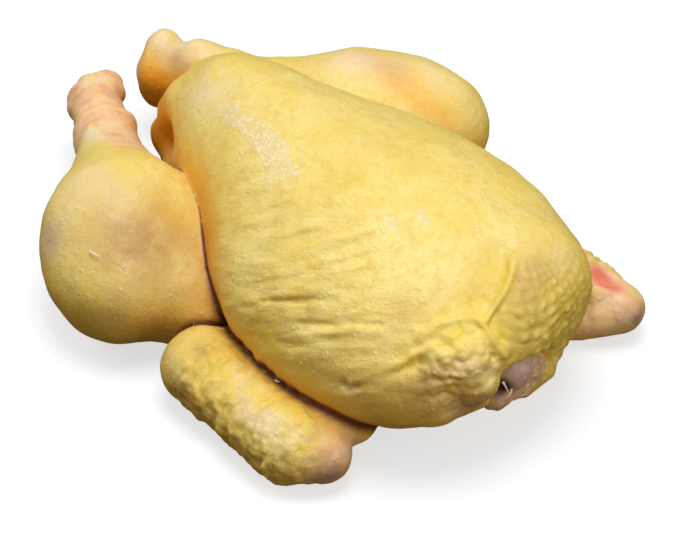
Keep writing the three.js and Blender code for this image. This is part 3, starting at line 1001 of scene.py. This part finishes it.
def make_strands(name, routes, radii):
    points, quads = [], []
    for route in routes:
        new_points, new_quads = tube(route, radii)
        quads.append(new_quads + sum(len(part) for part in points))
        points.append(new_points)
    return mesh_object(name, to_frame(np.concatenate(points)), np.concatenate(quads))


# Materials


class Wire:
    """A socket in a tree of nodes, on which Python's operators work as they do on a number."""

    def __init__(self, tree, socket=None):
        self.tree = tree
        self.socket = socket

    def node(self, kind, settings=None, inputs=None, output=0):
        """A new node of any type: its settings first, then its sockets by name or number."""
        node = self.tree.nodes.new(kind)
        for name, value in (settings or {}).items():
            setattr(node, name, value)
        for name, value in (inputs or {}).items():
            if isinstance(value, Wire):
                self.tree.links.new(value.socket, node.inputs[name])
            else:
                node.inputs[name].default_value = value
        return Wire(self.tree, node.outputs[output])

    def beside(self, output):
        """Another output of this socket's node."""
        return Wire(self.tree, self.socket.node.outputs[output])

    def math(self, operation, *values):
        return self.node("ShaderNodeMath", {"operation": operation}, dict(enumerate(values)))

    def __add__(self, other):
        return self.math("ADD", self, other)

    def __mul__(self, other):
        return self.math("MULTIPLY", self, other)

    __radd__ = __add__
    __rmul__ = __mul__

    def between(self, low, high):
        """0 below low, 1 above high, smooth between."""
        inputs = {"Value": self, "From Min": low, "From Max": high}
        return self.node("ShaderNodeMapRange", {"interpolation_type": "SMOOTHSTEP"}, inputs)

    def mixed(self, a, b):
        """The colour a where this is 0, and b where it is 1."""
        inputs = {0: self, 6: a, 7: b}
        return self.node("ShaderNodeMix", {"data_type": "RGBA", "clamp_factor": True}, inputs, 2)

    def mask(self, name):
        return self.node("ShaderNodeAttribute", {"attribute_name": name}, output=2)

    def place(self, turn=(0, 0, 0), stretch=(1, 1, 1)):
        """Object coordinates in metres, for a pattern that is turned and then stretched."""
        here = self.node("ShaderNodeTexCoord", output=3)
        inputs = {"Vector": here, "Rotation": turn, "Scale": stretch}
        return self.node("ShaderNodeMapping", {"vector_type": "TEXTURE"}, inputs)

    def noise(self, size_mm, detail=2.0, roughness=0.5, place=None, warp=0.0):
        """Cloudy noise with clouds about as wide as the size, 0 to 1."""
        inputs = {"Vector": place or self.place(), "Scale": 1000 / size_mm, "Detail": detail,
                  "Roughness": roughness, "Distortion": warp}
        return self.node("ShaderNodeTexNoise", {}, inputs)

    def bumped(self, height, depth_mm, under=None):
        inputs = {"Height": height, "Distance": depth_mm * MM}
        if under:
            inputs["Normal"] = under
        return self.node("ShaderNodeBump", {}, inputs)


def new_material(name, **constants):
    """A material with its unchanging values set, its shader's node and a wire to build on."""
    material = bpy.data.materials.new(name)
    material.use_nodes = True
    shader = material.node_tree.nodes["Principled BSDF"]
    for socket, value in constants.items():
        shader.inputs[socket.replace("_", " ").title().replace("Ior", "IOR")].default_value = value
    return material, shader, Wire(material.node_tree)


def connect(shader, **wires):
    for socket, wire in wires.items():
        wire.tree.links.new(wire.socket, shader.inputs[socket.replace("_", " ").title()])


def skin_material():
    material, shader, w = new_material(
        "yellow_chicken_skin", subsurface_weight=0.2, subsurface_radius=(1.0, 0.55, 0.2),
        subsurface_scale=0.0015, coat_roughness=0.3,
    )
    cloud = w.noise(28, 3)
    mottle = w.noise(5, 4, 0.6, warp=0.4)
    flakes = w.noise(2.4, 3, 0.6, warp=1.5)
    soft = w.noise(9, 3, 0.55)
    grain = w.noise(1.4, 3, 0.6)
    across = w.noise(2.0, 2, 0.55, w.place(VIEW_TURN, (5, 1, 5)), 1.0)
    round_wing = w.noise(1.5, 3, 0.6, w.place(stretch=(1, 5, 5)), 0.3)
    inputs = {"Vector": w.place(), "Scale": 1000 / PIMPLE_GAP_MM}
    pimples = w.node("ShaderNodeTexVoronoi", {"feature": "F1"}, inputs)
    pimples = pimples.between(0.24, 0.08) * cloud.between(0.4, 0.6)

    rubbed_tint = flakes.between(0.48, 0.6).mixed(RUBBED_CREAM, RUBBED_WHITE)
    flesh_tint = soft.between(0.3, 0.65).mixed(FLESH_PINK, FLESH_CREAM)
    flesh_tint = (mottle.between(0.5, 0.7) * 0.45).mixed(flesh_tint, FAT_YELLOW)
    layers = [
        (mottle.between(0.42, 0.72) * 0.55, SKIN_DEEP),
        # Painted shade on the undersides
        (w.mask("underside_shade") * 0.85, SKIN_UNDERSIDE_SHADE),
        # Deeper yellow where the fold and forearm wrinkles are low, paler where they are high: painted shade
        # in their valleys, painted highlight on the crests
        (w.mask("folds") * across.between(0.5, 0.3) * 0.4, SKIN_DEEP),
        (w.mask("folds") * across.between(0.55, 0.75) * 0.4, SKIN_PALE),
        (w.mask("forearms") * round_wing.between(0.5, 0.3) * 0.6, SKIN_DEEP),
        (grain.between(0.45, 0.75) * 0.28, SKIN_PALE),
        (pimples * 0.7, SKIN_PALE),
        # Olive on the neck flap: partly its own colour, partly painted shade
        (w.mask("flap") * 0.85, FLAP_OLIVE),
        (w.mask("bumps") * 0.7, FOLLICLE_PALE),
        # Painted shade glow by the near thigh
        (w.mask("shade_glow"), SHADE_GLOW_ORANGE),
        (w.mask("cream") * soft.between(0.25, 0.55) * 0.9, CREAM_PINK),
        # Painted orange shade on the inner sides of the legs and round the vent
        (w.mask("amber_shade") * 0.9, AMBER_SHADE_BROWN),
        (w.mask("mauve") * (0.65 + 0.35 * soft.between(0.3, 0.65)), MAUVE_BROWN),
        (w.mask("fat") * mottle.between(0.35, 0.6), FAT_YELLOW),
        (w.mask("rubbed") * 0.75, rubbed_tint),
        (w.mask("flesh"), flesh_tint),
        (w.mask("blood"), BLOOD_RED),
        (w.mask("purple") * (0.4 + 0.6 * mottle.between(0.3, 0.6)), PURPLE_BRUISE),
        # Painted shade in the creases between members
        (w.mask("crease_shade") * 0.85, CREASE_SHADE_ORANGE),
        (w.mask("crease_shade").between(0.45, 0.85), CREASE_SHADE_BROWN),
    ]
    tint = cloud.between(0.35, 0.65).mixed(SKIN_YELLOW, SKIN_CREAM)
    for share, over in layers:
        tint = share.mixed(tint, over)

    roughness = 0.42 + 0.2 * mottle.between(0.3, 0.7)
    coat = 0.25 * grain.between(0.4, 0.6) * cloud.between(0.4, 0.6)
    normal = None
    for height, depth_mm in [
        (w.noise(0.8, 2, 0.5), 0.12),
        (grain, 0.22),
        (w.noise(3.2, 3, 0.6, warp=0.6), 0.3),
        (w.mask("folds") * across, 0.2),
        (w.mask("rubbed") * flakes, 0.3),
        (w.mask("forearms") * round_wing, 0.8),
        (pimples, 0.25),
    ]:
        normal = w.bumped(height, depth_mm, normal)
    connect(shader, base_color=tint, roughness=roughness, coat_weight=coat, normal=normal)
    return material


def flesh_material():
    material, shader, w = new_material(
        "neck_flesh", subsurface_weight=0.15, subsurface_radius=(1.0, 0.4, 0.25), subsurface_scale=0.002,
    )
    mottle = w.noise(3, 3, 0.6)
    grain = w.noise(0.9, 3, 0.6)
    smooth_tint = mottle.between(0.4, 0.6).mixed(FLESH_MAUVE, FLESH_GREY)
    grainy_tint = (0.6 * mottle + 0.4 * grain).between(0.42, 0.6).mixed(FLESH_BROWN, FLESH_TAN)
    tint = w.mask("grains").mixed(smooth_tint, grainy_tint)
    # Painted shade in the flesh's hollow
    tint = w.mask("hole_shade").mixed(tint, HOLE_SHADE_BROWN)
    roughness = 0.35 + 0.25 * grain
    connect(shader, base_color=tint, roughness=roughness, normal=w.bumped(grain, 0.4))
    return material


def horn_material():
    material, shader, w = new_material("pale_horn", roughness=0.4)
    connect(shader, base_color=w.noise(3, 2).between(0.3, 0.7).mixed(HORN_PALE, HORN_YELLOW))
    return material


def floor_material():
    """White, and lit a little from below like a light table."""
    material, shader, w = new_material(
        "pale_floor", roughness=0.9, emission_color=(1, 1, 1, 1), emission_strength=FLOOR_GLOW,
    )
    cloud = w.noise(300, 2)
    connect(shader, base_color=cloud.between(0.3, 0.7).mixed(FLOOR_SHADE, FLOOR_WHITE))
    return material


# Feather stubs left in the skin, scattered by Geometry Nodes


def stub_tree(material):
    """Short stubs standing in the skin where it was feathered most, and the values of the tree's inputs."""
    tree = bpy.data.node_groups.new("feather_stubs", "GeometryNodeTree")
    tree.interface.new_socket(name="Geometry", in_out="INPUT", socket_type="NodeSocketGeometry")
    settings = {}
    for name, kind, value in [
        ("Density", "NodeSocketFloat", STUB_DENSITY),
        ("Length", "NodeSocketFloat", STUB_LENGTH_MM * MM),
        ("Radius", "NodeSocketFloat", STUB_RADIUS_MM * MM),
        ("Seed", "NodeSocketInt", STUB_SEED),
    ]:
        socket = tree.interface.new_socket(name=name, in_out="INPUT", socket_type=kind)
        settings[socket.identifier] = value
    tree.interface.new_socket(name="Geometry", in_out="OUTPUT", socket_type="NodeSocketGeometry")

    w = Wire(tree)
    source = w.node("NodeGroupInput")
    seed = source.beside("Seed")
    radius = source.beside("Radius")
    inputs = {"Name": "feathered"}
    feathered = w.node("GeometryNodeInputNamedAttribute", {"data_type": "FLOAT"}, inputs, "Attribute")
    inputs = {"Mesh": source, "Density": source.beside("Density") * feathered, "Seed": seed}
    scatter = w.node("GeometryNodeDistributePointsOnFaces", {}, inputs, "Points")
    inputs = {"Vertices": STUB_SIDES, "Depth": source.beside("Length"), "Radius Bottom": radius,
              "Radius Top": radius * STUB_TAPER}
    cone = w.node("GeometryNodeMeshCone", {}, inputs, "Mesh")
    inputs = {0: (-STUB_LEAN, -STUB_LEAN, 0), 1: (STUB_LEAN, STUB_LEAN, 0), "Seed": seed}
    lean = w.node("FunctionNodeRandomValue", {"data_type": "FLOAT_VECTOR"}, inputs)
    inputs = {"Rotation": scatter.beside("Rotation"), "Rotate By": lean}
    turn = w.node("FunctionNodeRotateRotation", {"rotation_space": "LOCAL"}, inputs)
    inputs = {2: STUB_SIZES[0], 3: STUB_SIZES[1], "Seed": seed}
    size = w.node("FunctionNodeRandomValue", {"data_type": "FLOAT"}, inputs, 1)
    inputs = {"Points": scatter, "Instance": cone, "Rotation": turn, "Scale": size}
    place = w.node("GeometryNodeInstanceOnPoints", {}, inputs)
    realized = w.node("GeometryNodeRealizeInstances", {}, {0: place})
    painted = w.node("GeometryNodeSetMaterial", {}, {"Geometry": realized, "Material": material})
    result = tree.nodes.new("NodeGroupOutput")
    tree.links.new(painted.socket, result.inputs[0])
    return tree, settings


def make_stubs(skin_piece, material):
    tree, settings = stub_tree(material)
    source = new_object("stub_source", skin_piece.data)
    modifier = source.modifiers.new("stubs", "NODES")
    modifier.node_group = tree
    for identifier, value in settings.items():
        modifier[identifier] = value
    mesh = evaluated_mesh(source)
    bpy.data.objects.remove(source)
    return new_object("feather_stubs", mesh)


# The scene


def dress(obj, material):
    """A finished piece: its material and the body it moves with."""
    obj.data.materials.clear()
    obj.data.materials.append(material)
    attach(obj, "root")


def make_floor():
    mesh = bpy.data.meshes.new("floor")
    corners = [(x * FLOOR_HALF_SIDE, y * FLOOR_HALF_SIDE, 0) for x, y in ((-1, -1), (1, -1), (1, 1), (-1, 1))]
    mesh.from_pydata(corners, [], [(0, 1, 2, 3)])
    mesh.materials.append(floor_material())
    obj = new_object("floor", mesh)
    obj.visible_diffuse = False
    obj.visible_glossy = False


def add_light(name, place, power, size):
    light = bpy.data.lights.new(name, "AREA")
    light.shape = "DISK"
    light.energy = power
    light.size = size
    obj = new_object(name, light)
    obj.location = place
    obj.rotation_euler = Vector(place).to_track_quat("Z", "Y").to_euler()


def light_studio():
    world = bpy.data.worlds.new("studio")
    world.use_nodes = True
    background = world.node_tree.nodes["Background"]
    w = Wire(world.node_tree)
    height = w.node("ShaderNodeSeparateXYZ", {}, {"Vector": w.node("ShaderNodeTexCoord", output=0)}, 2)
    sky = height.between(-0.2, 0.5).mixed(SKY_BELOW, SKY_ABOVE)
    world.node_tree.links.new(sky.socket, background.inputs["Color"])
    bpy.context.scene.world = world
    for name, sizes in LIGHTS.items():
        add_light(name, *sizes)
    bpy.context.scene.view_settings.view_transform = "Standard"


def place_camera():
    azimuth = math.radians(VIEW_AZIMUTH)
    elevation = math.radians(VIEW_ELEVATION)
    back = Vector((
        math.sin(azimuth) * math.cos(elevation),
        -math.cos(azimuth) * math.cos(elevation),
        math.sin(elevation),
    ))
    camera = bpy.data.cameras.new("camera")
    camera.sensor_width = SENSOR_MM
    camera.lens = PIXELS_PER_MM * CAMERA_DISTANCE_MM / PHOTO_WIDTH_PX * SENSOR_MM
    camera.clip_end = 20
    obj = new_object("camera", camera)
    obj.location = Vector(to_frame(np.array(LOOK_AT_MM))) + back * CAMERA_DISTANCE_MM * MM
    obj.rotation_euler = back.to_track_quat("Z", "Y").to_euler()
    bpy.context.scene.camera = obj


place_camera()
chicken = make_skin()
dress(chicken, skin_material())
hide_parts(NODE)
dress(make_neck_flesh(), flesh_material())
horn = horn_material()
for strands_name, strands in {"tendons": TENDONS, "quills": QUILLS, "hairs": HAIRS}.items():
    dress(make_strands(strands_name, **strands), horn)
dress(make_stubs(chicken, horn), horn)
make_floor()
light_studio()
